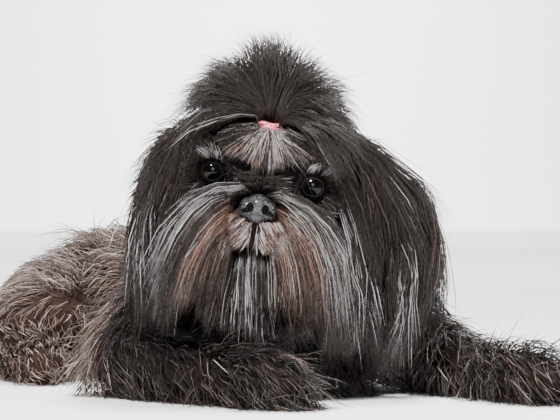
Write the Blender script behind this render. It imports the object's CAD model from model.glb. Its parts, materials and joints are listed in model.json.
"""Looks for a shih tzu lying on its chest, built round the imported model. The dog faces -Y."""

import json
import math
from functools import partial

import bmesh
import bpy
import numpy as np
from mathutils import Matrix, Vector, geometry
from mathutils.bvhtree import BVHTree

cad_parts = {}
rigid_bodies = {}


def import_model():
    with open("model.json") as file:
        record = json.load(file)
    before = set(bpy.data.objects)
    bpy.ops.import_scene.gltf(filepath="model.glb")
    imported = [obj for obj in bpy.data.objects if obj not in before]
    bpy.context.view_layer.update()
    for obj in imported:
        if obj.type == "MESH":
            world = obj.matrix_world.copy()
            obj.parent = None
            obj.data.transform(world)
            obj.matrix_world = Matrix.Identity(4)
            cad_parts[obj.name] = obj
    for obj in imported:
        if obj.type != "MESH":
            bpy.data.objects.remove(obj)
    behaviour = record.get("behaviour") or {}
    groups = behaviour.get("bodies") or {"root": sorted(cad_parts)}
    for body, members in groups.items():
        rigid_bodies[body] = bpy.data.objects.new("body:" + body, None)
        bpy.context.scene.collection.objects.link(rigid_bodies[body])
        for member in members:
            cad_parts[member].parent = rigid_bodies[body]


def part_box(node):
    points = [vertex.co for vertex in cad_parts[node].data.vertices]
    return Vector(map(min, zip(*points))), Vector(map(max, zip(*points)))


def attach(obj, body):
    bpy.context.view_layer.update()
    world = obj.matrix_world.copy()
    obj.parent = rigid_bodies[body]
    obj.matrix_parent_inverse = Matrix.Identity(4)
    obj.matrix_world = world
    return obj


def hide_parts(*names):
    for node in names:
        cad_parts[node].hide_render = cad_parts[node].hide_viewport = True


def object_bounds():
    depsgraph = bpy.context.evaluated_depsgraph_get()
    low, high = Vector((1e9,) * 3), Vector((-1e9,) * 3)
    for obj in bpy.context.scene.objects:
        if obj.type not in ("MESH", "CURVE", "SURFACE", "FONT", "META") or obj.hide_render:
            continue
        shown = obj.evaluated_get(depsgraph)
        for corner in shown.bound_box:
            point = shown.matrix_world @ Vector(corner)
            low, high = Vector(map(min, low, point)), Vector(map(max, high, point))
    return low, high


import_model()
CAD_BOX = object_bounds()

# The studio: a pale paper floor that turns up into a wall nine metres away, a long lens at the
# height of the dog's face, soft lamps round the dog, and three that light the floor and the wall.
CAMERA_PLACE = (-0.8449, -1.5733, 0.125)
CAMERA_AIM = (0.5, 0.866, -0.0049)
FOCAL_PIXELS = 2623
FRAME_WIDTH = 560
FRAME_HEIGHT = 420
HORIZON_ROW = 197.3
SENSOR = 36


def new_object(name, data):
    """An object for a mesh, a lamp or a lens, put in the scene."""
    made = bpy.data.objects.new(name, data)
    bpy.context.scene.collection.objects.link(made)
    return made


def mesh_of(name, bm):
    mesh = bpy.data.meshes.new(name)
    bm.to_mesh(mesh)
    bm.free()
    mesh.shade_smooth()
    return mesh


lens = bpy.data.cameras.new("portrait_lens")
lens.sensor_width = SENSOR
lens.lens = FOCAL_PIXELS / FRAME_WIDTH * SENSOR
camera = new_object("portrait_camera", lens)
camera.location = CAMERA_PLACE
tilt = math.atan((HORIZON_ROW - FRAME_HEIGHT / 2) / FOCAL_PIXELS)
aim = Vector((CAMERA_AIM[0], CAMERA_AIM[1], math.tan(tilt)))
camera.rotation_euler = aim.to_track_quat("-Z", "Y").to_euler()
bpy.context.scene.camera = camera


class Wire:
    """A socket in a material's nodes. Arithmetic on it adds the nodes that work it out."""

    def __init__(self, tree, socket=None):
        self.tree = tree
        self.socket = socket

    def node(self, kind, settings=None, inputs=None, out=0):
        """Adds a node, sets it, then gives its sockets numbers, colours or wires."""
        made = self.tree.nodes.new(kind)
        for key, value in (settings or {}).items():
            setattr(made, key, value)
        for key, value in (inputs or {}).items():
            if isinstance(value, Wire):
                self.tree.links.new(value.socket, made.inputs[key])
            else:
                made.inputs[key].default_value = value
        return Wire(self.tree, made.outputs[out])

    def maths(self, operation, first, second=0.0):
        return self.node("ShaderNodeMath", {"operation": operation}, {0: first, 1: second})

    def __add__(self, other):
        return self.maths("ADD", self, other)

    def __sub__(self, other):
        return self.maths("SUBTRACT", self, other)

    def __mul__(self, other):
        return self.maths("MULTIPLY", self, other)

    def __rsub__(self, other):
        return self.maths("SUBTRACT", other, self)

    __radd__ = __add__
    __rmul__ = __mul__

    def held(self):
        """Kept between 0 and 1."""
        return self.node("ShaderNodeClamp", None, {0: self})

    def blend(self, first, second):
        """A colour that goes from first to second as this goes from 0 to 1."""
        return self.node("ShaderNodeMix", {"data_type": "RGBA"}, {0: self, 6: first, 7: second}, 2)


def new_finish(name, roughness, **fixed):
    """A material, with the wire that its nodes are made from and its shader's sockets."""
    material = bpy.data.materials.new(name)
    material.use_nodes = True
    sockets = material.node_tree.nodes["Principled BSDF"].inputs
    sockets["Roughness"].default_value = roughness
    for key, value in fixed.items():
        sockets[key.replace("_", " ")].default_value = value
    return material, Wire(material.node_tree), sockets


def feed(wire, socket):
    wire.tree.links.new(wire.socket, socket)


def noise(wire, scale):
    place = wire.node("ShaderNodeTexCoord", None, None, "Object")
    return wire.node("ShaderNodeTexNoise", None, {"Vector": place, "Scale": scale, "Detail": 3.0})


FLOOR_REACH = 9.0
WALL_HEIGHT = 6.0
BEND = 1.5
BEND_STEPS = 12
FLOOR_TURN = -30


def floor_sweep():
    """The floor and wall as one bent sheet, turned square to the camera."""
    profile = [(-FLOOR_REACH, 0.0), (FLOOR_REACH, 0.0)]
    for step in range(1, BEND_STEPS + 1):
        angle = math.pi / 2 * step / BEND_STEPS
        profile.append((FLOOR_REACH + BEND * math.sin(angle), BEND * (1 - math.cos(angle))))
    profile.append((FLOOR_REACH + BEND, WALL_HEIGHT))
    bm = bmesh.new()
    rows = [[bm.verts.new((x, y, z)) for x in (-FLOOR_REACH, FLOOR_REACH)] for y, z in profile]
    for near, far in zip(rows, rows[1:]):
        bm.faces.new((near[0], near[1], far[1], far[0]))
    sheet = new_object("studio_floor", mesh_of("studio_floor", bm))
    sheet.rotation_euler = (0, 0, math.radians(FLOOR_TURN))
    material, wire, sockets = new_finish("pale_paper", 0.9)
    shade = noise(wire, 1.2)
    feed(shade.blend((0.90, 0.90, 0.90, 1), (0.94, 0.94, 0.935, 1)), sockets["Base Color"])
    sheet.data.materials.append(material)


floor_sweep()

SHOULDERS = (0, -0.1, 0.08)
LIGHTS = (
    ("key", (-1.0, -1.0, 1.6), 0.35, 92, SHOULDERS),
    ("over", (0.5, -0.1, 1.8), 0.5, 62, SHOULDERS),
    ("side", (1.3, -1.0, 0.9), 0.7, 16, SHOULDERS),
    ("front", (-0.9, -1.8, 0.8), 0.8, 12, SHOULDERS),
    ("near floor", (1.2, 2.1, 2.2), 1.0, 110, (1.7, 3.0, 0.0)),
    ("far floor", (2.9, 5.0, 2.4), 1.2, 150, (3.0, 5.2, 0.0)),
    ("wall", (4.2, 7.3, 2.4), 1.4, 260, (5.2, 9.1, 0.4)),
)
for name, place, size, power, towards in LIGHTS:
    lamp = bpy.data.lights.new(name, "AREA")
    lamp.shape = "DISK"
    lamp.size = size
    lamp.energy = power
    holder = new_object(name, lamp)
    holder.location = place
    holder.rotation_euler = (Vector(towards) - Vector(place)).to_track_quat("-Z", "Y").to_euler()
world = bpy.data.worlds.new("studio_air")
world.use_nodes = True
air = world.node_tree.nodes["Background"].inputs
air["Color"].default_value = (1.0, 1.0, 1.0, 1)
air["Strength"].default_value = 0.27
bpy.context.scene.world = world

# The skin: one dark hide over head, neck, trunk, legs, tail and ear leather, a little inside the
# model's flesh. It carries the same markings as the coat that grows from it.
EYE_DEPTH = 0.0085
SKIN_INSET = 0.0015
SKIN_VOXEL = 0.0026
SKIN_OFF_FLOOR = 0.0002
BACK_HEIGHT = 0.101
TRUNK_HALF_WIDTH = 0.068

eye_box = {side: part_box("eye_" + side) for side in ("right", "left")}
eye_centre = {side: (Vector(low) + Vector(high)) / 2 for side, (low, high) in eye_box.items()}
head_x = (eye_centre["left"] - eye_centre["right"]).normalized()
head_y = Vector((0, 0, 1)).cross(head_x).normalized()
head_z = head_x.cross(head_y)
HEAD_AXES = Matrix((head_x, head_y, head_z)).transposed()
BETWEEN_EYES = (eye_centre["left"] + eye_centre["right"]) / 2 - head_y * EYE_DEPTH
AXES = np.array(HEAD_AXES)
ORIGIN = np.array(BETWEEN_EYES)


def head_point(x, y, z):
    """A place on the head, given in millimetres from the point between the eyes."""
    return BETWEEN_EYES + HEAD_AXES @ Vector((x, y, z)) / 1000


def from_head(places):
    """The same for rows of places."""
    return ORIGIN + (np.asarray(places) / 1000) @ AXES.T


def to_head(places):
    return ((places - ORIGIN) @ AXES) * 1000


def add_ball(bm, centre, radii, turn=None, rings=16):
    place = Matrix.Translation(centre) @ (turn or Matrix()) @ Matrix.Diagonal((*radii, 1))
    bmesh.ops.create_uvsphere(bm, u_segments=2 * rings, v_segments=rings, radius=1, matrix=place)


def head_ball(bm, place, radii, inset=SKIN_INSET):
    radii = [radius / 1000 - inset for radius in radii]
    add_ball(bm, head_point(*place), radii, HEAD_AXES.to_4x4())


def ball_points():
    bm = bmesh.new()
    bmesh.ops.create_icosphere(bm, subdivisions=3, radius=1)
    points = [v.co.copy() for v in bm.verts]
    bm.free()
    return points


BALL = ball_points()


def add_limb(bm, joints, stretch=None):
    """Rounded cones from joint to joint, each joint a place and a radius."""
    points = [stretch @ point for point in BALL] if stretch else BALL
    for pair in zip(joints, joints[1:]):
        ball = [bm.verts.new(Vector(c) + p * (r - SKIN_INSET)) for c, r in pair for p in points]
        hull = bmesh.ops.convex_hull(bm, input=ball)
        spare = {e for e in hull["geom_interior"] + hull["geom_unused"]
                 if isinstance(e, bmesh.types.BMVert)}
        bmesh.ops.delete(bm, geom=list(spare), context="VERTS")


def applied(item):
    """Replaces an object's mesh with what its modifiers make of it."""
    bpy.context.view_layer.update()
    graph = bpy.context.evaluated_depsgraph_get()
    mesh = bpy.data.meshes.new_from_object(item.evaluated_get(graph))
    item.modifiers.clear()
    item.data = mesh
    mesh.materials.clear()
    return item


def melted(name, bm, voxel, smoothing):
    """Runs overlapping masses together into one smooth surface of triangles."""
    bmesh.ops.recalc_face_normals(bm, faces=bm.faces)
    item = new_object(name, mesh_of(name, bm))
    remesh = item.modifiers.new("melt", "REMESH")
    remesh.mode = "VOXEL"
    remesh.voxel_size = voxel
    smooth = item.modifiers.new("smooth", "SMOOTH")
    smooth.iterations = smoothing
    item.modifiers.new("facets", "TRIANGULATE")
    applied(item)
    item.data.shade_smooth()
    return item


# The trunk and neck are in metres, the limbs' joints in millimetres, each with its radius, and
# ears, skull, face and muzzle in millimetres of the head's own.
TRUNK = (
    ((0, -0.050, BACK_HEIGHT / 2 - 0.004), (TRUNK_HALF_WIDTH, 0.090, BACK_HEIGHT / 2 + 0.004)),
    ((0, -0.105, BACK_HEIGHT * 0.53), (TRUNK_HALF_WIDTH * 0.92, 0.050, BACK_HEIGHT * 0.52)),
    ((0, 0.035, BACK_HEIGHT * 0.46), (TRUNK_HALF_WIDTH * 0.90, 0.100, BACK_HEIGHT * 0.53)),
    ((0, 0.110, BACK_HEIGHT * 0.48), (TRUNK_HALF_WIDTH * 0.86, 0.058, BACK_HEIGHT * 0.50)),
)
LIMB_JOINTS = {
    "foreleg_right": ((-70, -95, 56, 28), (-106, -98, 24, 22), (-86, -185, 14, 16),
                      (-76, -222, 14, 18), (-72, -236, 12, 15)),
    "foreleg_left": ((70, -110, 58, 29), (88, -142, 24, 22), (82, -225, 14, 16),
                     (84, -268, 15, 18), (86, -284, 12, 16)),
    "thigh_right": ((-46, 118, 46, 36), (-94, 55, 36, 30), (-88, 140, 16, 18)),
    "thigh_left": ((44, 118, 46, 36), (84, 60, 34, 30), (80, 145, 16, 18)),
    "foot_right": ((-88, 140, 15, 17), (-104, 50, 11, 13), (-108, 18, 12, 15)),
    "foot_left": ((80, 145, 15, 17), (95, 58, 11, 13), (99, 26, 12, 15)),
    "tail": ((0, 156, 80, 15), (8, 184, 86, 12), (34, 194, 88, 11), (58, 180, 84, 10),
             (76, 150, 74, 9)),
}
EAR_FOLDS = (
    ((-46, 36, 22, 7), (-60, 35, 16, 6), (-69, 34, -8, 5.5), (-68, 34, -46, 4.5)),
    ((46, 36, 22, 7), (62, 35, 17, 6.5), (78, 34, -8, 6), (84, 34, -46, 5)),
)
EAR_BREADTH = 3.6
LIMBS = {
    name: [((x / 1000, y / 1000, z / 1000), r / 1000) for x, y, z, r in joints]
    for name, joints in LIMB_JOINTS.items()
}
NECK = (
    ((-0.004, -0.080, 0.070), 0.044),
    ((-0.018, -0.106, 0.098), 0.041),
    (head_point(0, 62, -8), 0.038),
)
SKULL = (((0, 46, 6), (50, 45, 40)), ((0, 18, 16), (36, 24, 24)))
FACE_SIDE = (((31, 15, 2), (17, 15, 17)), ((30, 22, -22), (20, 26, 20)), ((11, -10, -28), (14, 14, 11)))
MUZZLE = (
    ((0, -7, -15), (15, 14, 11)),
    ((0, -5, -40), (17, 14, 10)),
    ((0, 18, -36), (26, 26, 14)),
    ((4, -6, -56), (19, 9, 20)),
)


def skin_form():
    """All the masses of the body, given without the coat, run together into one hide."""
    bm = bmesh.new()
    for centre, radii in TRUNK:
        add_ball(bm, centre, [radius - SKIN_INSET for radius in radii])
    for joints in (NECK, *LIMBS.values()):
        add_limb(bm, joints)
    stretch = HEAD_AXES @ Matrix.Diagonal((1, EAR_BREADTH, 1)) @ HEAD_AXES.transposed()
    for fold in EAR_FOLDS:
        add_limb(bm, [(head_point(x, y, z), r / 1000) for x, y, z, r in fold], stretch)
    sides = [((side * x, y, z), radii) for side in (-1, 1) for (x, y, z), radii in FACE_SIDE]
    for place, radii in (*SKULL, *sides, *MUZZLE):
        head_ball(bm, place, radii)
    return melted("skin", bm, SKIN_VOXEL, 6)


def above_floor(item):
    """Presses a mesh flat where it would pass below the floor."""
    places = np.empty(len(item.data.vertices) * 3)
    item.data.vertices.foreach_get("co", places)
    places = places.reshape(-1, 3)
    places[:, 2] = np.maximum(places[:, 2], SKIN_OFF_FLOOR)
    item.data.vertices.foreach_set("co", places.ravel())


skin = skin_form()
above_floor(skin)
skin_places = [v.co.copy() for v in skin.data.vertices]
skin_faces = [tuple(p.vertices) for p in skin.data.polygons]
SKIN_TREE = BVHTree.FromPolygons(skin_places, skin_faces)


def unwrapped(item):
    """Lays the skin out flat and returns each face's three corners on the map."""
    bpy.context.view_layer.objects.active = item
    item.select_set(True)
    item.data.uv_layers.new(name="OFBake")
    bpy.ops.object.mode_set(mode="EDIT")
    bpy.ops.mesh.select_all(action="SELECT")
    bpy.ops.uv.smart_project(angle_limit=math.radians(70), island_margin=0.002)
    bpy.ops.object.mode_set(mode="OBJECT")
    item.select_set(False)
    flat = np.empty(len(item.data.loops) * 2)
    item.data.uv_layers["OFBake"].data.foreach_get("uv", flat)
    return flat.reshape(-1, 3, 2)


SKIN_MAP = unwrapped(skin)


def smooth_step(low, high, value):
    share = np.clip((value - low) / (high - low), 0, 1)
    return share * share * (3 - 2 * share)


def bell(value, middle, width):
    return np.exp(-(((value - middle) / width) ** 2))


WHITE_TUFT = np.array((-0.012, -0.172, 0.016))


def markings(places):
    """How red-brown and how silver the coat is at each place: black head, ears and topknot,
    a brown cast on muzzle, trunk and hind legs, silver on forehead, brows, lips and chin."""
    x, y, z = to_head(places).T
    near_head = smooth_step(150, 95, np.sqrt(x * x + (y - 20) ** 2 + (z + 10) ** 2))
    face = smooth_step(34, 6, y)
    muzzle = face * bell(np.hypot(x - 2, z + 33), 0, 31)
    brow = face * bell(np.hypot(x * 0.75, z - 24), 0, 17)
    chin = face * bell(np.hypot(x - 4, (z + 58) * 0.6), 0, 15)
    arch = face * bell(z + np.abs(x) * 0.45, -4, 12) * smooth_step(2, 12, np.abs(x))
    socket = face * bell(np.hypot(np.abs(x) - 31, z), 0, 12.5)
    lid = face * bell(np.hypot(np.abs(x) - 33, (z - 9.5) * 1.6), 0, 7)
    stop = face * bell(np.hypot(x * 0.8, z), 0, 11)
    lip = face * bell(np.hypot(x, (z + 31) * 1.2), 0, 10)
    brown = near_head * (0.13 + 0.80 * muzzle + 0.30 * brow - 0.45 * lip - 0.30 * chin)
    silver = 0.085 + 0.42 * brow + 0.34 * chin + 0.10 * muzzle + 0.36 * arch + 0.28 * lip
    silver *= near_head
    brown -= near_head * (0.5 * socket + 0.6 * stop)
    silver += near_head * (0.85 * lid - 0.30 * socket - 0.40 * stop)
    hind = smooth_step(-0.125, -0.085, places[:, 1])
    tuft = bell(np.linalg.norm(places - WHITE_TUFT, axis=1), 0, 0.014)
    brown += (1 - near_head) * (0.30 + 0.60 * hind)
    silver += (1 - near_head) * (0.12 + 0.22 * hind + tuft)
    return np.clip(brown, 0, 1), np.clip(silver, 0, 1)


def set_floats(mesh, name, values):
    mesh.attributes.new(name, "FLOAT", "POINT").data.foreach_set("value", np.asarray(values, float))


COAT_BLACK = (0.0050, 0.0048, 0.0054, 1)
COAT_BROWN = (0.120, 0.048, 0.028, 1)
COAT_SILVER = (0.58, 0.54, 0.52, 1)
skin_brown, skin_silver = markings(np.array(skin_places))
set_floats(skin.data, "brown", skin_brown)
set_floats(skin.data, "silver", skin_silver)


def marked(wire, name):
    """A value that the mesh carries at each of its points."""
    return wire.node("ShaderNodeAttribute", {"attribute_name": name}, None, "Fac")


def bump(wire, height, strength, depth):
    """A normal that the height raises by so many metres."""
    return wire.node("ShaderNodeBump", None, {"Height": height, "Strength": strength, "Distance": depth})


def skin_finish():
    """Dark skin with fine pores, faintly browner and lighter where the coat is."""
    material, wire, sockets = new_finish("dark_skin", 0.7, Specular_IOR_Level=0.08)
    grain = noise(wire, 900)
    warm = (marked(wire, "brown") * (0.10 + 0.25 * grain)).blend(COAT_BLACK, COAT_BROWN)
    feed((marked(wire, "silver") * 0.05 * grain).blend(warm, COAT_SILVER), sockets["Base Color"])
    feed(0.6 + 0.25 * grain, sockets["Roughness"])
    feed(bump(wire, noise(wire, 1400), 0.6, 0.0004), sockets["Normal"])
    return material


skin.data.materials.append(skin_finish())
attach(skin, "root")
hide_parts("head", "neck", "torso", "tail", "ear_left", "ear_right")
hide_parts("foreleg_left", "foreleg_right", "hindleg_left", "hindleg_right")

# The eyes: large, dark, round and wet, with a clear cornea over a nearly black iris. They sit
# in the skull and the lids close round them.
EYE_RADIUS = (eye_box["left"][1][2] - eye_box["left"][0][2]) / 2
EYE_SCALE = 0.985
EYE_RINGS = 28
CORNEA_REACH = 0.62
CORNEA_RISE = 0.0007


def eye_finish():
    """Brown-black iris round a black pupil, a dark white at the rim, smooth and wet."""
    material, wire, sockets = new_finish("dark_eye", 0.07, IOR=1.28)
    place = marked(wire, "from_pupil")
    streaks = noise(wire, 700)
    iris = (streaks * 1.3).held().blend((0.0024, 0.0017, 0.0014, 1), (0.0060, 0.0036, 0.0026, 1))
    pupil = ((place - 0.34) * 12).held().blend((0.0012, 0.0012, 0.0012, 1), iris)
    white = ((place - 0.66) * 9).held().blend(pupil, (0.0050, 0.0042, 0.0040, 1))
    feed(white, sockets["Base Color"])
    return material


eye_material = eye_finish()
for side, centre in eye_centre.items():
    bm = bmesh.new()
    turn = HEAD_AXES.to_4x4() @ Matrix.Rotation(math.radians(90), 4, "X")
    add_ball(bm, centre, (EYE_RADIUS * EYE_SCALE,) * 3, turn, EYE_RINGS)
    front = centre - head_y * EYE_RADIUS
    for vert in bm.verts:
        from_front = (vert.co - front).length / EYE_RADIUS
        rise = CORNEA_RISE * max(0.0, 1 - from_front / CORNEA_REACH) ** 0.5
        vert.co += (vert.co - centre).normalized() * rise
    mesh = mesh_of("eyeball_" + side, bm)
    set_floats(mesh, "from_pupil", [(v.co - front).length / EYE_RADIUS for v in mesh.vertices])
    mesh.materials.append(eye_material)
    ball = new_object("eyeball_" + side, mesh)
    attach(ball, "root")
    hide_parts("eye_" + side)

# The eyelids: thin folds of black skin drawn over each eyeball, with a rounded, moist margin.
# The upper lid comes lower than the lower lid rises.
LID_ROOM = 0.0003
LID_THICKNESS = 0.0011
LID_STEPS = 64
LID_RINGS = ((-0.1, 0.0), (-0.2, 0.25), (0.0, 0.45), (0.4, 0.45), (0.8, 0.1), (1.3, -0.6), (1.8, -1.5))
HALF_WIDE = 6.5
HALF_ABOVE = 5.0
HALF_BELOW = 5.6
UPPER_LID_SCALE = 1.25
WIDEST_TURN = 1.45
BACK_RING = 0.05


def join_rings(bm, near, far):
    """A closed band of faces between two rings of points."""
    for step in range(len(near)):
        following = (step + 1) % len(near)
        bm.faces.new((near[step], near[following], far[following], far[step]))


def lid_opening(angle):
    """Half the opening of the lids, in millimetres, at an angle about the line of sight."""
    wide = abs(math.cos(angle)) ** 1.3
    high = HALF_ABOVE if math.sin(angle) > 0 else HALF_BELOW
    return HALF_WIDE * wide + high * (1 - wide)


def eyelids(side):
    """Rings of points on spheres just outside the eyeball, from under the margin outwards."""
    centre = eye_centre[side]
    bm = bmesh.new()
    rows = []
    for outwards, lift in LID_RINGS:
        row = []
        for step in range(LID_STEPS):
            angle = 2 * math.pi * step / LID_STEPS
            scale = UPPER_LID_SCALE if math.sin(angle) > 0 else 1
            radius = EYE_RADIUS + LID_ROOM + lift * LID_THICKNESS * scale
            bend = min((lid_opening(angle) + outwards) / 1000 / radius, WIDEST_TURN)
            flat = head_x * math.cos(angle) + head_z * math.sin(angle)
            row.append(bm.verts.new(centre + (flat * math.sin(bend) - head_y * math.cos(bend)) * radius))
        rows.append(row)
    rows.append([bm.verts.new(v.co.lerp(centre, BACK_RING)) for v in rows[-1]])
    for near, far in zip(rows, rows[1:] + rows[:1]):
        join_rings(bm, near, far)
    bmesh.ops.recalc_face_normals(bm, faces=bm.faces)
    return new_object("eyelids_" + side, mesh_of("eyelids_" + side, bm))


def lid_finish():
    material, wire, sockets = new_finish("lid_leather", 0.6, Specular_IOR_Level=0.2)
    folds = noise(wire, 420)
    feed(folds.blend((0.002, 0.002, 0.0022, 1), (0.007, 0.007, 0.0075, 1)), sockets["Base Color"])
    feed(0.52 + 0.22 * folds, sockets["Roughness"])
    feed(bump(wire, noise(wire, 800), 0.5, 0.0005), sockets["Normal"])
    return material


lid_material = lid_finish()
for side in ("right", "left"):
    lids = eyelids(side)
    lids.data.materials.append(lid_material)
    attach(lids, "root")

# The nose: a broad pad of pebbled grey-black leather on the short muzzle, with round nostrils
# that run out into slits at the sides and a groove down its middle.
NOSE_VOXEL = 0.00045
NOSE_HALF = 11.25
GROOVE = ((0, -32, -21), (0.5, 3.4, 6.0))
NOSTRIL = (
    ((4.5, -28, -18.0), (2.1, 6.5, 2.7)),
    ((6.4, -28.2, -19.8), (2.6, 5.0, 1.5)),
    ((8.6, -26.6, -20.9), (2.6, 4.4, 0.8)),
)
HOLLOW_ROOM = 0.35
nostrils = [((side * x, y, z), radii) for side in (-1, 1) for (x, y, z), radii in NOSTRIL]


def nose_pad():
    bm = bmesh.new()
    head_ball(bm, (0, -22, -17), (NOSE_HALF * 0.72, 8.5, 8.0), 0)
    for side in (-1, 1):
        head_ball(bm, (side * NOSE_HALF * 0.60, -21, -18.5), (NOSE_HALF * 0.42, 7.5, 6.2), 0)
    head_ball(bm, (0, -21, -23), (NOSE_HALF * 0.55, 7.0, 4.5), 0)
    return melted("nose_leather", bm, NOSE_VOXEL, 12)


def nose_form():
    """The pad with nostrils and groove cut into it, and its edges softened."""
    nose = nose_pad()
    holes = bpy.data.collections.new("nostrils")
    bpy.context.scene.collection.children.link(holes)
    for place, radii in (GROOVE, *nostrils):
        cut = bmesh.new()
        head_ball(cut, place, radii, 0)
        holes.objects.link(bpy.data.objects.new("nostril", mesh_of("nostril", cut)))
    carve = nose.modifiers.new("carve", "BOOLEAN")
    carve.operation = "DIFFERENCE"
    carve.operand_type = "COLLECTION"
    carve.collection = holes
    carve.solver = "MANIFOLD"
    applied(nose)
    for item in list(holes.objects):
        bpy.data.objects.remove(item)
    bpy.data.collections.remove(holes)
    soften = nose.modifiers.new("soften", "REMESH")
    soften.mode = "VOXEL"
    soften.voxel_size = NOSE_VOXEL
    smooth = nose.modifiers.new("smooth", "SMOOTH")
    smooth.iterations = 3
    applied(nose)
    nose.data.shade_smooth()
    places = to_head(np.array([v.co for v in nose.data.vertices]))
    hollow = np.zeros(len(places))
    for place, radii in nostrils:
        depth = np.linalg.norm((places - np.array(place)) / (np.array(radii) + HOLLOW_ROOM), axis=1)
        hollow = np.maximum(hollow, np.clip((1.12 - depth) * 5, 0, 1))
    set_floats(nose.data, "hollow", hollow)
    return nose


def nose_finish():
    material, wire, sockets = new_finish("nose_leather", 0.34, Coat_Weight=0.6, Coat_Roughness=0.14)
    place = wire.node("ShaderNodeTexCoord", None, None, "Object")
    pebbles = wire.node("ShaderNodeTexVoronoi", None, {"Vector": place, "Scale": 820.0})
    mottle = noise(wire, 260)
    worn = ((mottle - 0.35) * 2).held()
    hollow = marked(wire, "hollow")
    leather = worn.blend((0.016, 0.016, 0.018, 1), (0.085, 0.086, 0.091, 1))
    cracked = ((pebbles - 0.30) * 2.2).held().blend(leather, (0.006, 0.006, 0.0065, 1))
    feed(hollow.blend(cracked, (0.0015, 0.0015, 0.0015, 1)), sockets["Base Color"])
    feed((0.30 + 0.25 * mottle + 0.5 * hollow).held(), sockets["Roughness"])
    feed(bump(wire, 1 - pebbles, 1.0, 0.0009), sockets["Normal"])
    return material


nose = nose_form()
nose.data.materials.append(nose_finish())
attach(nose, "root")
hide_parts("nose")

# The hair elastic: a thin pink rubber cord wound twice round the root of the topknot, its
# covering ribbed and worn pale on the outside.
BAND_TURNS = ((-1, -4, 31.6), (-1.2, -4, 33.6))
BAND_RADIUS = 0.0056
BAND_CORD = 0.00135
BAND_STEPS = 160
CORD_SIDES = 14
RIBS = 40


def elastic_form():
    bm = bmesh.new()
    for order, centre in enumerate(BAND_TURNS):
        rows = []
        for step in range(BAND_STEPS):
            angle = 2 * math.pi * step / BAND_STEPS
            rib = 1 + 0.05 * math.sin(angle * RIBS)
            wave = 0.0003 * math.sin(angle * 3 + order * 2)
            row = []
            for turn in range(CORD_SIDES):
                around_cord = 2 * math.pi * turn / CORD_SIDES
                out = BAND_RADIUS + BAND_CORD * rib * math.cos(around_cord)
                up = wave + BAND_CORD * 0.8 * rib * math.sin(around_cord)
                flat = head_x * math.cos(angle) + head_y * math.sin(angle)
                row.append(bm.verts.new(head_point(*centre) + flat * out + head_z * up))
            rows.append(row)
        for row, beyond in zip(rows, rows[1:] + rows[:1]):
            join_rings(bm, row, beyond)
    bmesh.ops.recalc_face_normals(bm, faces=bm.faces)
    return new_object("elastic", mesh_of("elastic", bm))


def elastic_finish():
    material, wire, sockets = new_finish("pink_elastic", 0.5)
    wear = noise(wire, 900)
    worn = ((wear - 0.52) * 6).held()
    feed(worn.blend((0.80, 0.10, 0.17, 1), (0.93, 0.62, 0.66, 1)), sockets["Base Color"])
    feed(0.42 + 0.2 * wear, sockets["Roughness"])
    feed(bump(wire, noise(wire, 3000), 0.4, 0.0002), sockets["Normal"])
    return material


elastic = elastic_form()
elastic.data.materials.append(elastic_finish())
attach(elastic, "root")
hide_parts("hair_band")

# The coat: solid tapered tufts from 0.3 to 1.2 millimetres wide, rooted in the skin and lying over
# each other. Long on the head, in soft locks, and short and woolly on the trunk and legs.
DRAW = np.random.default_rng(11)
MAP_PATCH = 0.003
ROOT_DEPTH = 0.0015
STRANDS_PER_PIECE = 6500
FLOOR_ROOM = 0.0008
SKIN_REACH = 0.03
STRAY_HAIR = np.array((0.010, 0.011, 0.005))
LEAST_LENGTH = 0.05
# The three corners of a strand's section, and its share of full width at shares of its length.
STRAND_SIDE = np.array((0.5, 0.0, -0.5))
STRAND_RISE = np.array((-0.15, 0.32, -0.15))
TAPER_AT = (0, 0.15, 0.6, 0.85, 1)
TAPER = (0.7, 1.0, 0.85, 0.55, 0.2)
# How close tufts of one colour lie, how far a strand follows its tuft, and the least colour.
TUFT_RATE = 700
BROWN_TUFTS = 0.35
SILVER_TUFTS = 0.28
LEAST_BROWN = 0.06
LEAST_SILVER = 0.015
# Shares of the given width, of the given lift, and how far a strand may be twisted.
WIDTHS = (0.7, 1.25)
LIFTS = (0.25, 1.0)
LIFTED_BY = 0.4
TWIST = 0.35


def coat_finish(name, roughness, brown_hair, silver_hair):
    """Each strand's own shade between black, brown and silver, darker at the root."""
    material, wire, sockets = new_finish(name, roughness, Specular_IOR_Level=0.34)
    speckle = noise(wire, 500)
    uneven = 0.7 + 0.6 * speckle
    body = (marked(wire, "brown") * uneven).held().blend(COAT_BLACK, brown_hair)
    shade = marked(wire, "silver") * (0.12 + 0.88 * marked(wire, "along")) * uneven
    feed(shade.held().blend(body, silver_hair), sockets["Base Color"])
    feed(roughness - 0.08 + 0.16 * speckle, sockets["Roughness"])
    return material


def unit(vectors):
    return vectors / np.maximum(np.linalg.norm(vectors, axis=-1, keepdims=True), 1e-9)


def nearest(places):
    """The nearest place on the skin to each, its normal there and the face it is on."""
    flat = places.reshape(-1, 3)
    spots = np.empty_like(flat)
    normals = np.empty_like(flat)
    faces = np.empty(len(flat), int)
    for index, place in enumerate(flat.tolist()):
        spots[index], normals[index], faces[index], _ = SKIN_TREE.find_nearest(place)
    return spots.reshape(places.shape), normals.reshape(places.shape), faces


def pushed_out(places, room):
    """Places moved out of the skin until they have so much room, and kept off the floor."""
    spots, normals, _ = nearest(places)
    height = ((places - spots) * normals).sum(-1)
    short = np.maximum(room - height, 0)
    near = np.linalg.norm(places - spots, axis=-1) < SKIN_REACH
    places = places + normals * (short * near)[..., None]
    places[..., 2] = np.maximum(places[..., 2], FLOOR_ROOM)
    return places, normals


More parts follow.
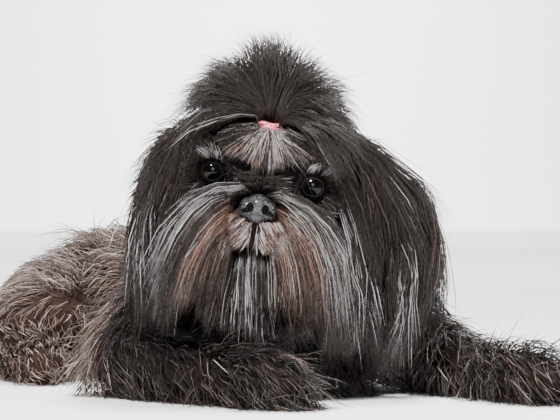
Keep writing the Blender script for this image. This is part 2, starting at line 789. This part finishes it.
def shortened(paths):
    """Scales down about its root each strand that would stray far past the model's own box."""
    low, high = (np.array(corner) for corner in CAD_BOX)
    root = paths[:, 0]
    up = (high + STRAY_HAIR - root) / np.maximum(paths.max(axis=1) - root, 1e-6)
    down = (root - low + STRAY_HAIR) / np.maximum(root - paths.min(axis=1), 1e-6)
    share = np.clip(np.minimum(up, down).min(axis=1), LEAST_LENGTH, 1)
    return root[:, None] + (paths - root[:, None]) * share[:, None, None]


def map_places(roots, faces):
    """Where each root lies on the skin's map."""
    found = np.empty((len(roots), 2))
    for index, (root, face) in enumerate(zip(roots.tolist(), faces.tolist())):
        corners = [skin_places[v] for v in skin_faces[face]]
        flat = [Vector((u, v, 0)) for u, v in SKIN_MAP[face]]
        spot = geometry.barycentric_transform(Vector(root), *corners, *flat)
        found[index] = (spot.x, spot.y)
    return np.clip(found, 0.002, 0.998)


def strand_faces(rings):
    """The triangles of one three-sided strand: its root, its sides and its tip."""
    faces = [(0, 2, 1)]
    for row in range(rings - 1):
        for turn in range(3):
            following = (turn + 1) % 3
            near, far = row * 3, row * 3 + 3
            faces.append((near + turn, near + following, far + following))
            faces.append((near + turn, far + following, far + turn))
    last = (rings - 1) * 3
    return np.array(faces + [(last + turn, last + (turn + 1) % 3, rings * 3) for turn in range(3)])


def strand_mesh(name, paths, ups, widths, spots, brown, silver):
    """Three-sided tapering strands, one closed form each, along rows of points."""
    count, points, _ = paths.shape
    rings = points - 1
    per = rings * 3 + 1
    along = np.linspace(0, 1, points)
    heading = unit(np.gradient(paths, axis=1))
    side = unit(np.cross(heading, ups))
    rise = np.cross(side, heading)
    size = (widths[:, None] * np.interp(along, TAPER_AT, TAPER)[None, :])[:, :rings, None]
    ring = paths[:, :rings, None, :] \
        + side[:, :rings, None, :] * (size * STRAND_SIDE)[..., None] \
        + rise[:, :rings, None, :] * (size * STRAND_RISE)[..., None]
    verts = np.concatenate((ring.reshape(count, rings * 3, 3), paths[:, -1:, :]), axis=1)
    corners = (strand_faces(rings)[None] + (np.arange(count) * per)[:, None, None]).reshape(-1)
    mesh = bpy.data.meshes.new(name)
    mesh.vertices.add(count * per)
    mesh.vertices.foreach_set("co", verts.reshape(-1))
    mesh.loops.add(len(corners))
    mesh.loops.foreach_set("vertex_index", corners.astype(np.int32))
    mesh.polygons.add(len(corners) // 3)
    mesh.polygons.foreach_set("loop_start", np.arange(0, len(corners), 3, dtype=np.int32))
    mesh.update(calc_edges=True)
    mesh.shade_smooth()
    share = np.append(np.repeat(along[:rings], 3), 1.0)
    across = np.append(np.tile((-0.5, 0.0, 0.5), rings), 0.0)
    offsets = np.stack((across, share - 0.5), axis=1) * MAP_PATCH
    flat = (spots[:, None, :] + offsets[None]).reshape(-1, 2)
    mesh.uv_layers.new(name="OFBake").data.foreach_set("uv", flat[corners].reshape(-1))
    set_floats(mesh, "brown", np.repeat(brown, per))
    set_floats(mesh, "silver", np.repeat(silver, per))
    set_floats(mesh, "along", np.tile(share, count))
    return new_object(name, mesh)


def streaked(share, own, tuft, tuft_weight, depth, plain):
    """How deep each strand's colour is, or plain where its own and its tuft's chance miss it."""
    taken = own * (1 - tuft_weight) + tuft * tuft_weight < share
    return np.clip(np.where(taken, 0.35 + 0.65 * depth, plain), 0, 1)


def add_coat(name, slot, material, paths, width, lift, more_brown=0.0, more_silver=0.0):
    """Clears paths of the skin and makes them into pieces of coat of a handy size. The width is
    in millimetres, and lift is the most room in metres that a strand gets over the skin."""
    count, points, _ = paths.shape
    widths = width * DRAW.uniform(*WIDTHS, count) / 1000
    roots, normals, faces = nearest(paths[:, 0])
    along = np.linspace(0, 1, points)
    room = lift * np.minimum(along / LIFTED_BY, 1) * DRAW.uniform(*LIFTS, (count, 1))
    paths, ups = pushed_out(paths, room)
    paths[:, 0] = roots - normals * ROOT_DEPTH
    paths = shortened(paths)
    brown, silver = markings(paths[:, points // 2])
    dice = DRAW.random((2, count))
    tuft = 0.5 + 0.5 * np.sin(roots @ DRAW.normal(0, TUFT_RATE, (3, 2))).prod(-1)
    share = np.clip(brown + more_brown, 0, 1)
    depth = dice[0] / np.maximum(share, 0.2)
    brown = streaked(share, dice[0], tuft, BROWN_TUFTS, depth, LEAST_BROWN)
    share = np.clip(silver + more_silver, 0, 1)
    silver = streaked(share, dice[1], tuft, SILVER_TUFTS, DRAW.random(count), LEAST_SILVER)
    spots = map_places(roots, faces)
    ups = unit(ups + DRAW.normal(0, TWIST, (count, 1, 3)))
    pieces = []
    for own in np.array_split(np.arange(count), math.ceil(count / STRANDS_PER_PIECE)):
        piece = strand_mesh(f"{name}_{len(pieces) + 1}", paths[own], ups[own], widths[own],
                            spots[own], brown[own], silver[own])
        piece.data.materials.append(material)
        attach(piece, "root")
        pieces.append(piece)
    return pieces


CLUMP_SPREAD = 0.6


def clumped(count, per_lock):
    """Random places on a unit square for clumps and for the strands gathered in each."""
    clumps = max(1, count // per_lock)
    centres = DRAW.random((clumps, 2))
    owner = np.arange(count) % clumps
    own = centres[owner] + DRAW.normal(0, CLUMP_SPREAD / math.sqrt(clumps), (count, 2))
    return np.clip(own, 0, 1), centres[owner], owner, clumps


def along_curve(bends, points):
    """Points on cubic curves, whose four bends are rows of places."""
    t = np.linspace(0, 1, points)[None, :, None]
    first, second, third, fourth = (bend[:, None, :] for bend in bends)
    return (first * (1 - t) ** 3 + second * 3 * t * (1 - t) ** 2
            + third * 3 * t * t * (1 - t) + fourth * t ** 3)


# One strand in twenty strays further. At each of its four bends a strand is drawn in part to the
# line of its clump, and may stray by a share of the full amount.
WILD_FROM = 0.95
GATHER = (0, 0.35, 0.8, 1.0)
LOOSE = (0, 0.25, 0.6, 1.0)
ALONE = 0.6
WILD = 1.6
LENGTHS = (0.62, 1.06)
TURNS = (0.8, 1.6)


def lock_field(bends_at, strands, per_lock, points, stray, wave, pull=0.65, in_head=True):
    """Strands in clumps. bends_at gives the four bends, in the head's or the dog's millimetres,
    for places on a unit square. Strands draw together towards their clump's tip and wave."""
    own, centre, owner, clumps = clumped(strands, per_lock)
    bends = [np.array(b, float) for b in bends_at(*own.T)]
    leader = [np.array(b, float) for b in bends_at(*centre.T)]
    shared = DRAW.normal(0, stray, (clumps, 3))[owner]
    alone = DRAW.normal(0, stray * ALONE, (strands, 3))
    wild = (DRAW.random(strands) > WILD_FROM)[:, None] * DRAW.normal(0, stray * WILD, (strands, 3))
    drawn = []
    for bend, lead, gather, swing in zip(bends, leader, GATHER, LOOSE):
        share = pull * gather
        drawn.append(bend.T * (1 - share) + lead.T * share + (shared + alone + wild) * swing)
    reach = DRAW.uniform(*LENGTHS, (strands, 1))
    drawn[3] = drawn[2] + (drawn[3] - drawn[2]) * reach
    paths = along_curve(drawn, points)
    t = np.linspace(0, 1, points)[None, :, None]
    phase = (DRAW.random((clumps, 3)) * 2 * math.pi)[owner] + DRAW.normal(0, 0.5, (strands, 3))
    turns = DRAW.uniform(*TURNS, (clumps, 1))[owner]
    paths += np.sin(phase[:, None, :] + 2 * math.pi * turns[:, None, :] * t) * wave * t
    return from_head(paths) if in_head else paths / 1000


def placed(x, y, z):
    """Places from three measures, each of them a number or a row of numbers."""
    return np.stack(np.broadcast_arrays(x, y, z)).astype(float)


def grow_locks(name, slot, bends, width, lift, shift=(0.0, 0.0), **field):
    """Pieces of hair in locks, with more brown and silver by the shift."""
    return add_coat(name, slot, head_hair, lock_field(bends, **field), width, lift, *shift)


def both_sides(name, slot, bends, width, lift, **field):
    """The same kind of hair on the dog's right and left, each side with locks of its own."""
    for side, word in ((-1, "right"), (1, "left")):
        grow_locks(f"{name}_{word}", slot, partial(bends, side), width, lift, **field)


# The forehead: hair drawn straight up from the brows and the stop into the elastic, combed thin,
# so that silver and brown streaks show. Hair of this finish covers the whole head and the chest.
head_hair = coat_finish("head_hair", 0.28, (0.225, 0.122, 0.088, 1), (0.81, 0.79, 0.79, 1))


def forehead_bends(u, v):
    across = u * 2 - 1
    rise = v ** 1.1
    wide = np.abs(across)
    height = -3 + 19 * wide ** 1.5 + 25 * rise * (1 - 0.4 * wide)
    start = placed(across * (43 - 12 * rise), -9 + 14 * wide + 3 * rise, height)
    tip = placed(-1 + across * 4.0, -5.5, 31.5)
    one = start * 0.72 + tip * 0.28 + np.array([[0], [-6], [1]])
    two = start * 0.28 + tip * 0.72 + np.array([[0], [-5], [0.5]])
    return start, one, two, tip


grow_locks("forehead_hair", "head_coat", forehead_bends, width=0.42, lift=0.003,
           strands=4200, per_lock=8, points=5, stray=1.3, wave=0.6)


# The topknot: the gathered hair stands up out of the elastic, opens like a fan and falls over at
# its ends to both sides.
def topknot_bends(u, v):
    spread = np.radians((u * 2 - 1) * 112 + 4)
    lean = v * 2 - 1
    side, rise = np.sin(spread), np.cos(spread)
    height = 55 - 10 * np.abs(lean)
    droop = 16 * np.abs(side) ** 2
    start = placed(-1 + side * 3.4, -3.5 + lean * 3.0, 33.5)
    one = placed(-1 + side * 8, -4 + lean * 9, 45 + rise * 5)
    two = placed(-1 + side * 38, 0 + lean * 26, 52 + rise * 26)
    tip = placed(-1 + side * 57, 6 + lean * 38, 36 + rise * (height - 4) - droop)
    return start, one, two, tip


topknot = grow_locks("topknot_hair", "topknot_coat", topknot_bends, width=0.6, lift=0.0,
                     strands=4200, per_lock=26, points=6, stray=5.2, wave=2.8, pull=0.75)
for piece in topknot:
    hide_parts("topknot")

# The crown and temples: long hair parted at the elastic, lying over the skull outwards and down
# on to the ears. It stands out further on the dog's left, like the hair of cheek and ear.

# In millimetres on the right and left: how far ear hair and cheek hair stand out from the middle
# of the head, and how far the ends lean.
OUTER = {-1: 76.0, 1: 116.0}
INNER = {-1: 60.0, 1: 80.0}
SWAY = {-1: 2.0, 1: 6.0}


def crown_bends(side, u, v):
    outer, inner = OUTER[side], INNER[side]
    back = v * 78
    start = placed(side * (7 + 36 * u), -3 + back * 0.95 + 6 * u, 40 - 16 * u ** 2 - 8 * v)
    one = placed(side * (30 + 34 * u), -6 + back * 0.95 + 6 * u, 50 - 12 * u - 10 * v)
    reach = inner - 8 + (outer - inner + 8) * 0.93 * (1 - u) * (1 - 0.45 * v)
    two = placed(side * (reach - 4), 2 + back, 18 - 20 * u - 12 * v)
    tip = placed(side * (reach + 4) + SWAY[side], 6 + back, -22 - 40 * u - 14 * v)
    return start, one, two, tip


both_sides("crown_hair", "head_coat", crown_bends, width=0.66, lift=0.006,
           strands=2700, per_lock=16, points=5, stray=4.0, wave=2.6)


def temple_bends(side, u, v):
    outer, inner = OUTER[side], INNER[side]
    start = placed(side * (38 + 12 * u), 6 + 40 * u, 24 - 26 * v - 4 * u)
    one = placed(side * (52 + 10 * u), 0 + 42 * u, 20 - 26 * v)
    reach = inner - 16 * v + (outer - inner) * 0.35 * u
    two = placed(side * (reach - 2), 4 + 36 * u, -20 - 30 * v)
    tip = placed(side * (reach - 5) + SWAY[side], 6 + 34 * u, -72 - 26 * v)
    return start, one, two, tip


both_sides("temple_hair", "head_coat", temple_bends, width=0.72, lift=0.005,
           strands=2300, per_lock=16, points=5, stray=3.8, wave=2.6)


# The ears: leather flaps hung with the longest hair, which hides them and ends in soft points at
# the height of the beard.
def ear_bends(side, u, fall):
    outer, inner, sway = OUTER[side], INNER[side], SWAY[side]
    depth = (u - 0.5) * 46
    edge = inner + (outer - inner) * (1 - 0.75 * fall) - 0.30 * np.abs(depth)
    start = placed(side * (inner - 4 + 8 * fall), 34 + depth * 0.8, 20 - 56 * fall)
    one = placed(side * (edge - 2), 33 + depth, 14 - 52 * fall)
    two = placed(side * (edge + 3) + sway * 0.4, 31 + depth * 1.15, -26 - 44 * fall)
    tip = placed(side * (edge - 5) + sway, 30 + depth * 1.1, -78 - 34 * fall)
    return start, one, two, tip


both_sides("ear_hair", "ear_coat", ear_bends, width=0.78, lift=0.004,
           strands=3000, per_lock=18, points=6, stray=4.4, wave=3.4, pull=0.6)


# The cheeks: long straight hair from under the eyes and the sides of the face, falling between
# the moustache and the ears.
def cheek_bends(side, u, v):
    inner, sway = INNER[side], SWAY[side]
    start = placed(side * (24 + 24 * u), 0 + 34 * u, -10 - 26 * v + 10 * u)
    one = placed(side * (38 + 24 * u), -16 + 36 * u, -16 - 26 * v + 8 * u)
    two = placed(side * (46 + (inner - 44) * u) + sway, -20 + 36 * u, -54 - 18 * v)
    tip = placed(side * (44 + (inner - 42) * u) + sway * 1.4, -14 + 32 * u, -92 - 14 * v + 6 * u)
    return start, one, two, tip


both_sides("cheek_hair", "head_coat", cheek_bends, width=0.58, lift=0.004,
           strands=2200, per_lock=14, points=5, stray=3.4, wave=2.0)


# The moustache: it springs from the bridge and from beside the nose, arches forwards and out and
# hangs past the corners of the mouth.
def mixed(share, *stops):
    """Goes evenly through places, from the first to the last."""
    at = np.linspace(0, 1, len(stops))
    return placed(*(np.interp(share, at, axis) for axis in zip(*stops)))


def moustache_bends(side, u, v):
    lines = (
        (2.0, (8, -18, -33), (13, -16, -24), (11, -14, -12), (2, -17, -7)),
        (4.0, (14, -27, -40), (21, -31, -26), (22, -30, -9), (13, -28, -2)),
        (6.0, (18, -33, -60), (34, -34, -46), (45, -28, -26), (52, -22, -7)),
        (8.0, (18, -27, -80), (36, -26, -86), (52, -18, -84), (63, -8, -78)),
    )
    rows = []
    for thickness, *stops in lines:
        spread = (v - 0.5) * thickness
        row = mixed(u, *stops) + placed(spread, -spread * 0.5, spread)
        row[0] = side * row[0]
        rows.append(row)
    rows[2][0] += SWAY[side] * 0.6
    rows[3][0] += SWAY[side]
    return rows


both_sides("moustache_hair", "head_coat", moustache_bends, width=0.48, lift=0.003,
           strands=2700, per_lock=12, points=6, stray=2.2, wave=0.9, pull=0.8)


# The bridge: short hair that stands up from the top of the muzzle behind the nose and parts to
# both sides, over the roots of the moustache.
def bridge_bends(u, v):
    across = u * 2 - 1
    start = placed(across * 10, -17 + 5 * across ** 2, -9 + 9 * v)
    one = start + placed(across * 2, -3, 2)
    two = start + placed(across * 5, -5, 4)
    tip = start + placed(across * 9 + np.sign(across) * 2, -6, 4)
    return start, one, two, tip


grow_locks("bridge_hair", "head_coat", bridge_bends, width=0.42, lift=0.0015,
           strands=700, per_lock=6, points=5, stray=0.8, wave=0.3)


# The beard: hair of the chin and lower lip, silver in the middle. It hangs down in front of the
# throat to a blunt point.
def beard_bends(u, v):
    across = u * 2 - 1
    start = placed(across * 17, -15 + 16 * v, -40 - 10 * v)
    one = placed(across * 22 + 2, -31 + 20 * v, -52 - 6 * v)
    two = placed(across * 30 + 6, -32 + 20 * v, -82)
    tip = placed(across * 34 + 11, -24 + 18 * v, -110 + 14 * across ** 2 + 6 * v)
    return start, one, two, tip


grow_locks("beard_hair", "head_coat", beard_bends, width=0.5, lift=0.003,
           strands=2200, per_lock=12, points=6, stray=2.4, wave=1.2)


# The lips: short hair, about fifteen millimetres long and mostly silver. It covers the muzzle
# below the nose and parts under it, where the mouth's dark line begins.
def lip_bends(u, v):
    side = np.sign(u - 0.5)
    out = np.abs(u * 2 - 1)
    start = placed(side * (1.0 + 16 * out), -24 + 8 * out ** 2, -24 - 12 * v + 3 * out)
    one = start + placed(side * (2 + 2 * out), -2.5, -2 - 2 * v)
    two = start + placed(side * (4 + 5 * out), -3, -6 - 2 * v)
    tip = start + placed(side * (6 + 8 * out), -1.5, -10 - 2 * v)
    return start, one, two, tip


grow_locks("lip_hair", "head_coat", lip_bends, width=0.38, lift=0.0012,
           strands=1600, per_lock=4, points=5, stray=0.8, wave=0.3, pull=0.35)


# The brows and the corners of the eyes: the shortest hair, nearly all round each eye, combed
# outwards and shortest on the side of the nose.
def brow_bends(side, u, v):
    angle = np.radians(-75 + 330 * u)
    x, z = np.cos(angle), np.sin(angle)
    inwards = np.clip(-side * x, 0, 1)
    out = 7.4 + (9 - 6.0 * inwards) * v
    start = placed(side * 31 + x * out, -1 + 4 * v + 3 * np.abs(x), z * out)
    comb = placed(x * 0.7 + side * 0.45, -0.35, z * 0.8 - 0.05)
    length = 10 - 4.5 * inwards
    return start, start + comb * 0.3 * length, start + comb * 0.65 * length, start + comb * length


both_sides("brow_hair", "head_coat", brow_bends, width=0.45, lift=0.0015,
           strands=1200, per_lock=6, points=5, stray=0.8, wave=0.3)


# The nape: hair of the back of the skull, falling on to the neck. Its broad locks lie over the
# short undercoat.
def nape_bends(u, v):
    across = (u * 2 - 1) * 46
    start = placed(across, 86 - across ** 2 / 90, 26 - 46 * v)
    one = placed(across * 1.1, 100 - across ** 2 / 110, 18 - 46 * v)
    two = placed(across * 1.2, 106 - across ** 2 / 120, -8 - 44 * v)
    tip = placed(across * 1.2, 102 - across ** 2 / 120, -34 - 40 * v)
    return start, one, two, tip


grow_locks("nape_hair", "head_coat", nape_bends, width=0.95, lift=0.005,
           strands=1500, per_lock=16, points=5, stray=3.0, wave=1.2)


# The chest: long dark hair that hangs between the forelegs to the floor, with a little white at
# its lower edge on the dog's right.
def chest_bends(u, v):
    across = u * 2 - 1
    start = placed(across * 64 + 4, -118 - 34 * np.cos(across * 1.35), 92 - 82 * v ** 0.6)
    one = start + placed(across * 4, -16, -6)
    two = placed(start[0] + across * 6, start[1] - 22 - 8 * v, start[2] * 0.62)
    tip = placed(start[0] + across * 6, start[1] - 22 - 16 * v, np.maximum(start[2] - 92, 1.5))
    return start, one, two, tip


grow_locks("chest_hair", "body_coat", chest_bends, width=0.85, lift=0.006, shift=(-0.2, -0.06),
           strands=2200, per_lock=14, points=5, stray=4.0, wave=1.6, pull=0.6, in_head=False)

# The body coat: thick, soft and a little woolly, brown-black with grey-brown tips, lying back
# along the trunk and down the legs, longer on chest, forelegs and tail.
TRUNK_HAIR = 0.021
CHEST_EXTRA = 0.012
CLUMP_CELL = 0.009
CLUMP_KEYS = np.array((73856093, 19349663, 83492791))
CLUMP_RATES = np.array((0.137, 0.291, 0.613))
THIGH_REACH = 0.034
LEG_REACH = 0.0235
TAIL_REACH = 0.0165
STAND = 0.45
CLUMP_LEAN = 0.26
STRAY_LEAN = 0.24
DROOP = np.array((0, 0, -0.10))
SETTLE = 0.09
# How far each limb's hair follows the limb, how far it points outwards, its way besides, its
# length, and the distances from the limb's line at which it begins and has it all.
COMBED = {
    "foreleg": (0.8, 0.0, (0, 0, -0.45), 0.034, (0.046, 0.030)),
    "thigh": (0.0, 0.6, (0, 0.6, -0.55), 0.021, (0.046, 0.030)),
    "foot": (0.9, 0.0, (0, 0, -0.3), 0.012, (0.046, 0.030)),
    "tail": (0.6, 0.0, (0, 0, -0.9), 0.044, (0.026, 0.016)),
}

body_hair = coat_finish("body_hair", 0.40, (0.150, 0.096, 0.077, 1), (0.56, 0.49, 0.45, 1))
face_corners = np.array(skin_places)[np.array(skin_faces)]
face_middle = face_corners.mean(axis=1)


def face_cross(corners):
    """Each face's normal, as long as twice its area."""
    a, b, c = corners.transpose(1, 0, 2)
    return np.cross(b - a, c - a)


face_area = np.linalg.norm(face_cross(face_corners), axis=1) / 2


def limb_share(places, joints):
    """How far each place is from a limb's line, and the limb's direction there."""
    best = np.full(len(places), np.inf)
    way = np.zeros((len(places), 3))
    for (start, _), (end, _) in zip(joints, joints[1:]):
        start, end = np.array(start), np.array(end)
        axis = end - start
        share = np.clip(((places - start) @ axis) / (axis @ axis), 0, 1)
        far = np.linalg.norm(places - start - share[:, None] * axis, axis=1)
        closer = far < best
        best = np.where(closer, far, best)
        way[closer] = axis / np.linalg.norm(axis)
    return best, way


def combed(places):
    """The way the body coat is combed, and its length."""
    outwards = np.sign(places[:, 0])[:, None] * np.array((1.0, 0, 0))
    way = np.tile((0.0, 0.9, -0.25), (len(places), 1))
    way[:, 2] -= 0.9 * smooth_step(0.02, 0.07, np.abs(places[:, 0]))
    chest = smooth_step(-0.115, -0.150, places[:, 1])[:, None]
    way = way * (1 - chest) + np.array((0, -0.2, -1.0)) * chest
    length = TRUNK_HAIR + CHEST_EXTRA * chest[:, 0]
    for name, joints in LIMBS.items():
        follow, spread, besides, reach, fade = COMBED[name.split("_")[0]]
        far, along = limb_share(places, joints)
        own = smooth_step(*fade, far)[:, None]
        limb_way = along * follow + outwards * spread + np.array(besides)
        way = way * (1 - own) + limb_way * own
        length = length * (1 - own[:, 0]) + reach * own[:, 0]
    return way, length


def grown_coat(name, slot, inside, strands, points, width, lift, curl, lie=combed, finish=body_hair):
    """Grows strands from the faces of the skin that lie inside a part of the body."""
    weight = face_area * inside
    chosen = DRAW.choice(len(weight), strands, p=weight / weight.sum())
    share = DRAW.dirichlet((1, 1, 1), strands)
    roots = (face_corners[chosen] * share[:, :, None]).sum(1)
    normals = unit(face_cross(face_corners[chosen]))
    cell = np.floor(roots / CLUMP_CELL).astype(int)
    key = np.bitwise_xor.reduce(cell * CLUMP_KEYS, axis=1)
    clump = np.sin(key[:, None] * CLUMP_RATES)
    way, length = lie(roots)
    length *= DRAW.uniform(0.75, 1.2, strands)
    flat = way - normals * (way * normals).sum(-1, keepdims=True)
    leaning = clump * CLUMP_LEAN + DRAW.normal(0, STRAY_LEAN, (strands, 3))
    heading = unit(unit(flat) + normals * STAND + leaning)
    paths = np.empty((strands, points, 3))
    paths[:, 0] = roots
    for step in range(1, points):
        side = np.cross(heading, normals)
        swing = np.sin(clump[:, :1] * 9 + step * 1.9) * side * curl
        heading = unit(heading + swing + DROOP - normals * SETTLE)
        paths[:, step] = paths[:, step - 1] + heading * (length / (points - 1))[:, None]
    add_coat(name, slot, finish, paths, width, lift)


EAR_MIDDLE = np.array((0, 34, -10))
EAR_INNER_EDGE = 50
EAR_SPAN = 98
EAR_LOW = 0.075


def off_head(spots):
    """Whether places, in the head's millimetres, are clear of the skull and the muzzle."""
    x, y, z = spots.T
    skull = np.sqrt((x / 56) ** 2 + ((y - 40) / 58) ** 2 + ((z + 4) / 52) ** 2)
    muzzle = np.sqrt((x / 44) ** 2 + (y / 44) ** 2 + ((z + 40) / 52) ** 2)
    return np.minimum(skull, muzzle) > 1.0


def on_ear(spots):
    """Whether places, in the head's millimetres, are on the leather of an ear."""
    far = np.linalg.norm(spots - EAR_MIDDLE, axis=1)
    return (np.abs(spots[:, 0]) > EAR_INNER_EDGE) & (far < EAR_SPAN)


head_spots = to_head(face_middle)
not_ear = ~(on_ear(head_spots) & (face_middle[:, 2] > EAR_LOW))
body_weight = off_head(head_spots) * smooth_step(0.001, 0.004, face_middle[:, 2]) * not_ear
on_tail = limb_share(face_middle, LIMBS["tail"])[0] < TAIL_REACH
on_leg = np.zeros(len(face_middle), bool)
for name, joints in LIMBS.items():
    if name != "tail":
        limit = THIGH_REACH if name.startswith("thigh") else LEG_REACH
        on_leg |= limb_share(face_middle, joints)[0] < limit
grown_coat("trunk_coat", "body_coat", body_weight * ~on_tail * ~on_leg,
           strands=9000, points=4, width=0.90, lift=0.011, curl=0.22)
grown_coat("leg_coat", "leg_coat", body_weight * on_leg,
           strands=9600, points=4, width=0.78, lift=0.010, curl=0.24)
grown_coat("tail_coat", "tail_coat", body_weight * on_tail,
           strands=1300, points=6, width=0.80, lift=0.006, curl=0.2)


# The undercoat of skull, ear leather and neck: short soft hair of the head's finish, combed down
# and outwards. It closes the gaps between the roots of the long locks.
UNDERCOAT_LENGTH = 0.019
UNDERCOAT_LOW = 0.02
THROAT = -60


def undercoat_lie(places):
    x, _, _ = to_head(places).T
    way = placed(np.sign(x) * 0.55, 0.35, -0.8).T @ AXES.T
    return way, np.full(len(places), UNDERCOAT_LENGTH)


behind_face = smooth_step(6, 16, head_spots[:, 1]) * (head_spots[:, 2] > THROAT)
under_locks = behind_face * (body_weight == 0) * (face_middle[:, 2] > UNDERCOAT_LOW)
grown_coat("undercoat", "head_coat", under_locks, strands=3600, points=4, width=0.95, lift=0.003,
           curl=0.1, lie=undercoat_lie, finish=head_hair)
